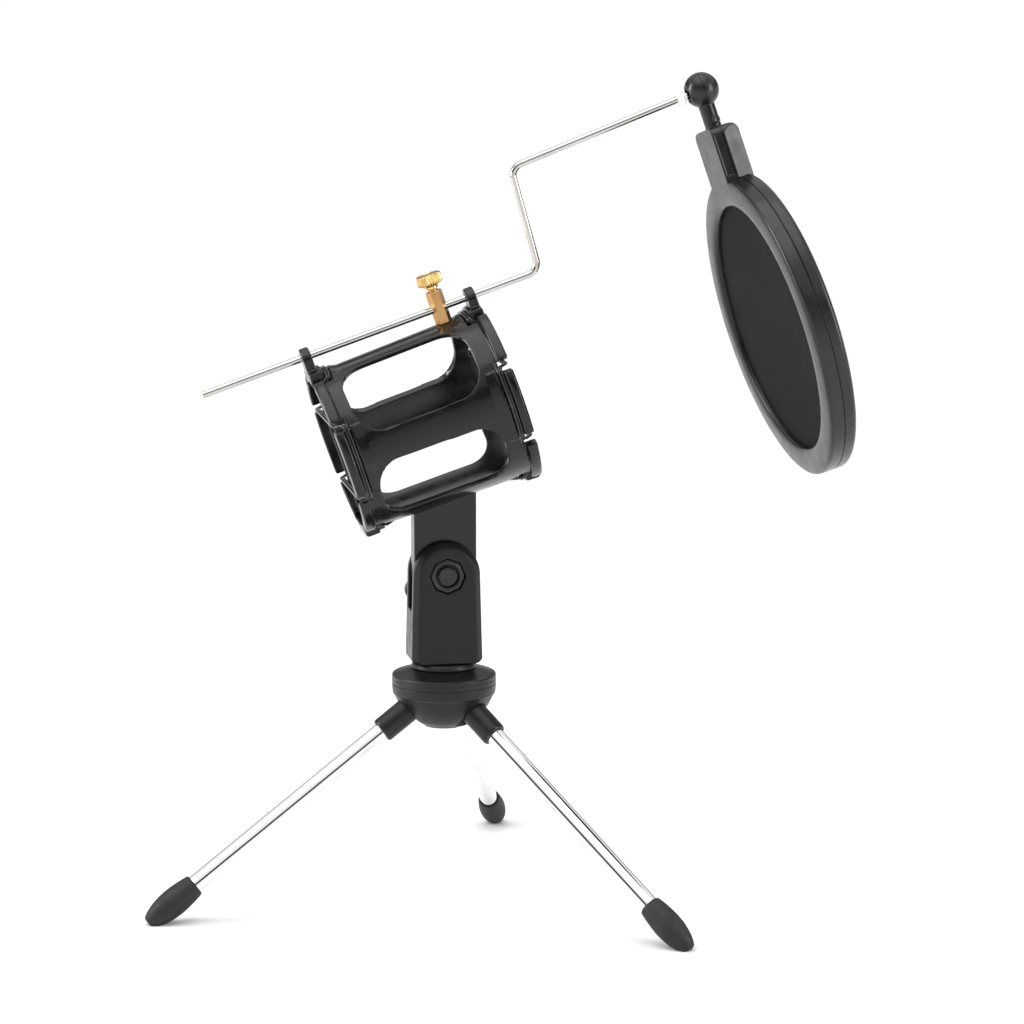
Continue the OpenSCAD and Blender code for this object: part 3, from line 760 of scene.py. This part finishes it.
v, f = tube_data(rod_path(), ROD_R, 40)
rod = make("rod_polished", v, f, CAGE, 40)
finish_piece(rod, "rod_steel", "rod", "rod")
v, f = lathe_data([(1.52, -0.0), (2.9, 0.0), (3.2, 0.3), (3.2, 3.1), (2.9, 3.4), (2.2, 3.4), (2.2, 4.2), (2.0, 4.4), (1.52, 4.4)], 6, loop=True)
rnut = make("rod_end_nut", v, f, ROD_END @ tr(-11.6, 0, 0) @ ALONG @ rz(12), 20)
finish_piece(rnut, "zinc", "rod", "rod_nut")
dress("rod_ball", "ball_steel")


# ---------------------------------------------------------------- filter
def arc(cx, cy, r, a0, a1, n):
    return [(cx + r * math.cos(math.radians(a0 + (a1 - a0) * k / n)), cy + r * math.sin(math.radians(a0 + (a1 - a0) * k / n))) for k in range(n + 1)]


def handle(name):
    """The handle block with its side recess and rounded corners; the neck and ball are made separately by stalk()."""
    x0, x1 = -5.7, HALF_B - 0.2
    w = 13.6
    outline = [(-w, 60), (w, 60)] + [(w - 4 + 4 * math.cos(t), 84 + 4 * math.sin(t)) for t in [math.radians(9 * k) for k in range(11)]]
    outline += [(-w + 4 + 4 * math.cos(t), 84 + 4 * math.sin(t)) for t in [math.radians(90 + 9 * k) for k in range(11)]]
    v, f = prism_data(outline, x0, x1)  # local z is along the ring's axis
    ob = make(name, [(p[2], p[0], p[1]) for p in v], f, None)
    # chamfers along the front vertical edges
    side = [(x0, 50), (x1, 50)] + [(x1 - 4.2 + 4.2 * math.cos(t), 83.8 + 4.2 * math.sin(t)) for t in [math.radians(7.5 * k) for k in range(13)]]
    side += [(x0 + 1.5 + 1.5 * math.cos(t), 86.5 + 1.5 * math.sin(t)) for t in [math.radians(90 + 15 * k) for k in range(7)]]
    v, f = prism_data(side, -20, 20)
    boolean(ob, make("cut", [(p[0], p[2], p[1]) for p in v], f, None), "INTERSECT")
    for k in (-1, 1):  # the front half slopes in to the front face
        pts = [(SEAM + 0.5, k * (w + 4)), (SEAM + 0.5, k * w), (x1 + 1.0, k * (w - 2.7)), (x1 + 1.0, k * (w + 4))]
        cv, cf = prism_data(pts if k < 0 else pts[::-1], 50, 96)
        boolean(ob, make("cut", cv, cf, None))
    # recess in each side of the rear half
    for k in (-1, 1):
        y0, y1 = sorted((k * (w - 1.3), k * (w + 2)))
        cv, cf = box_data(-4.6, SEAM - 0.35, y0, y1, 66.5, 84.8)
        boolean(ob, make("cut", cv, cf, None))
    # take out the middle, where the ring is
    v, f = lathe_data([(0, -30), (63.2, -30), (63.2, 30), (0, 30)], 256)
    boolean(ob, make("cut", v, f, ALONG))
    return ob


RING_SEAM = 0.7
ring_prof = [(MESH_R, -2.45), (MESH_R, -4.4)] + [(MESH_R + 0.25, -4.95), (MESH_R + 0.7, -5.4), (MESH_R + 1.4, -5.75), (MESH_R + 2.3, -5.98)]
ring_prof += [(MESH_R + 3.4, -6.08), (59.5, -6.05), (62.5, -5.88), (64.4, -5.6), (65.2, -5.3), (65.7, -4.9), (65.95, -4.4), (66.0, -3.8)]
rear_prof = ring_prof + [(66.0, RING_SEAM - 0.4), (65.8, RING_SEAM - 0.1), (57.6, RING_SEAM - 0.1), (57.6, -2.45)]
front_prof = [(57.6, RING_SEAM + 0.1), (65.8, RING_SEAM + 0.1), (66.0, RING_SEAM + 0.4), (66.0, 3.6), (65.95, 4.6), (65.75, 5.3), (65.3, 5.8), (64.4, 6.35), (62.6, 6.95),
              (60.2, 7.3), (MESH_R + 3.4, 7.38), (MESH_R + 2.2, 7.3), (MESH_R + 1.2, 7.0), (MESH_R + 0.5, 6.4), (MESH_R + 0.1, 5.7), (MESH_R, 5.2),
              (MESH_R, 3.45), (57.6, 3.45)]


def stalk():
    """Neck with its rib, and the hollow ball socket."""
    v, f = lathe_data([(0, 84), (3.5, 84), (3.5, 100), (0, 100)], 72)
    ob = make("stalk", v, f, None)
    # half rib on the front shell, just above the handle
    v, f = lathe_data([(0, 89.6), (3.5, 89.6), (4.0, 89.9), (4.1, 90.4), (4.1, 91.6), (4.0, 92.1), (3.5, 92.4), (0, 92.4)], 48, -88, 88)
    boolean(ob, make("rib", v, f, tr(SEAM + 0.2, 0, 0)), "UNION")
    v, f = lathe_data([(0, -SOCKET_R)] + [(SOCKET_R * math.sin(math.radians(t)), -SOCKET_R * math.cos(math.radians(t))) for t in range(4, 180, 4)] + [(0, SOCKET_R)], 96)
    boolean(ob, make("b", v, f, tr(0, 0, DROP) @ ALONG), "UNION")
    hole = BALL_R + 0.05
    v, f = lathe_data([(0, -hole)] + [(hole * math.sin(math.radians(t)), -hole * math.cos(math.radians(t))) for t in range(6, 180, 6)] + [(0, hole)], 64)
    boolean(ob, make("b", v, f, tr(0, 0, DROP)))
    # mouth, along the rod at rest
    mouth_m = RING.inverted() @ HEAD @ tr(*BALL) @ ry(-TILT - CLIMB) @ ry(-90)
    v, f = lathe_data([(0, 0.2), (5.8, 9.6), (0, 9.6)], 96)
    boolean(ob, make("b", v, f, mouth_m))
    return ob


for name, prof, side, node in (("filter_rear_moulding", rear_prof, -1, "filter_rear_shell"), ("filter_front_moulding", front_prof, 1, "filter_front_shell")):
    v, f = lathe_data(prof, 288, loop=True)
    ring = make(name, v, f, ALONG)
    top_part = handle("handle")
    boolean(top_part, stalk(), "UNION")
    softened(top_part, 0.25, 4)
    gap = SEAM - 0.1 if side < 0 else SEAM + 0.1
    x0, x1 = (gap, 40) if side < 0 else (-40, gap)
    cv, cf = box_data(x0, x1, -40, 40, 40, 130)
    boolean(top_part, make("cut", cv, cf, None))
    if side > 0:  # clear of the rear shell's rim
        cv, cf = lathe_data([(0, -30), (66.12, -30), (66.12, RING_SEAM + 0.1), (0, RING_SEAM + 0.1)], 256)
        boolean(top_part, make("cut", cv, cf, ALONG))
    boolean(ring, top_part, "UNION")
    ring.data.transform(RING)
    shade(ring, 28)
    finish_piece(ring, "filter_abs", "filter", node)
dress("mesh_hoop", "black_abs")
dress("filter_screws", "zinc")


def disc(name, x, bow):
    """A stretched fabric disc with a fine grid, bowed out very slightly."""
    R = 57.3
    verts, faces = [(x + bow, 0.0, 0.0)], []
    rings, n = 44, 144
    for i in range(1, rings + 1):
        r = R * i / rings
        for k in range(n):
            a = 2 * math.pi * k / n
            slack = 0.05 * math.sin(5 * a + 0.6) * (r / R) ** 2 * (1 - (r / R) ** 4)
            verts.append((x + bow * (1 - (r / R) ** 2) + slack, r * math.cos(a), r * math.sin(a)))
    for k in range(n):
        faces.append([0, 1 + k, 1 + (k + 1) % n])
    for i in range(1, rings):
        b0, b1 = 1 + (i - 1) * n, 1 + i * n
        for k in range(n):
            faces.append([b0 + k, b1 + k, b1 + (k + 1) % n, b0 + (k + 1) % n])
    ob = make(name, verts, faces, RING, 180)
    s = ob.modifiers.new("t", "SOLIDIFY")
    s.thickness, s.offset = 0.00035, 0
    applied(ob, 180)
    return ob


for name, node, x, bow in (("mesh_disc_rear", "mesh_rear", -2.7, -0.1), ("mesh_disc_front", "mesh_front", 3.2, 0.05)):
    d = disc(name, x, bow)
    finish_piece(d, "mesh_fabric", "filter", node)

# ---------------------------------------------------------------- floor, light, camera
v, f = box_data(-150, 150, -150, 150, -0.02, -0.00005)
floor = make("floor", v, f, None)
fm, nt, p, co = base_mat("floor_paint", (0.86, 0.86, 0.86), 0.9, spec=0.1)
nt.links.new(mix_color(nt, noise(nt, co, 3, 2), (0.855, 0.855, 0.855), (0.865, 0.865, 0.865)), p.inputs["Base Color"])
floor.data.materials.append(fm)

world = bpy.data.worlds.new("studio")
bpy.context.scene.world = world
world.use_nodes = True
wn = world.node_tree
bg = wn.nodes["Background"]
tc = wn.nodes.new("ShaderNodeTexCoord")
sep = wn.nodes.new("ShaderNodeSeparateXYZ")
wn.links.new(tc.outputs["Generated"], sep.inputs[0])
ramp = wn.nodes.new("ShaderNodeValToRGB")
el = ramp.color_ramp.elements
el[0].position, el[0].color = 0.0, (0.95, 0.95, 0.95, 1)
el[1].position, el[1].color = 1.0, (1.0, 1.0, 1.0, 1)
for pos, c in ((0.16, 1.0), (0.20, 0.02), (0.41, 0.02), (0.46, 1.1)):
    e = el.new(pos)
    e.color = (c, c, c, 1)
wn.links.new(sep.outputs["Z"], ramp.inputs["Fac"])
wn.links.new(ramp.outputs["Color"], bg.inputs["Color"])
bg.inputs["Strength"].default_value = 0.88

sun = bpy.data.lights.new("overhead", "SUN")
sun.energy, sun.angle = 1.35, math.radians(60)
so = bpy.data.objects.new("overhead", sun)
so.rotation_euler = (math.radians(8), math.radians(-12), 0)
bpy.context.scene.collection.objects.link(so)

for name, place, w, h, power in (("softbox_right", (1.09, -0.79, 0.60), 0.42, 0.8, 8.5), ("softbox_left", (-1.35, 0.12, 0.62), 0.36, 0.9, 13.0)):
    soft = bpy.data.lights.new(name, "AREA")
    soft.shape, soft.size, soft.size_y, soft.energy = "RECTANGLE", w, h, power
    box_light = bpy.data.objects.new(name, soft)
    box_light.location = place
    box_light.rotation_euler = (Vector((0.0, 0.0, 0.25)) - box_light.location).to_track_quat("-Z", "Y").to_euler()
    bpy.context.scene.collection.objects.link(box_light)

cam = bpy.data.cameras.new("camera")
cam.sensor_width, cam.lens = 36.0, 3362 * 36 / 1024
cam.dof.use_dof = False
cam.clip_end = 100
camera = bpy.data.objects.new("camera", cam)
camera.location = ((-229.22 - MID[0]) / 1000, (-1397.25 - MID[1]) / 1000, (301.1 + RIM) / 1000)
camera.rotation_euler = (math.radians(90 - 9.285), 0, math.radians(-10.5))
bpy.context.scene.collection.objects.link(camera)
bpy.context.scene.camera = camera
bpy.context.scene.view_settings.view_transform = "Standard"
bpy.context.scene.view_settings.look = "None"
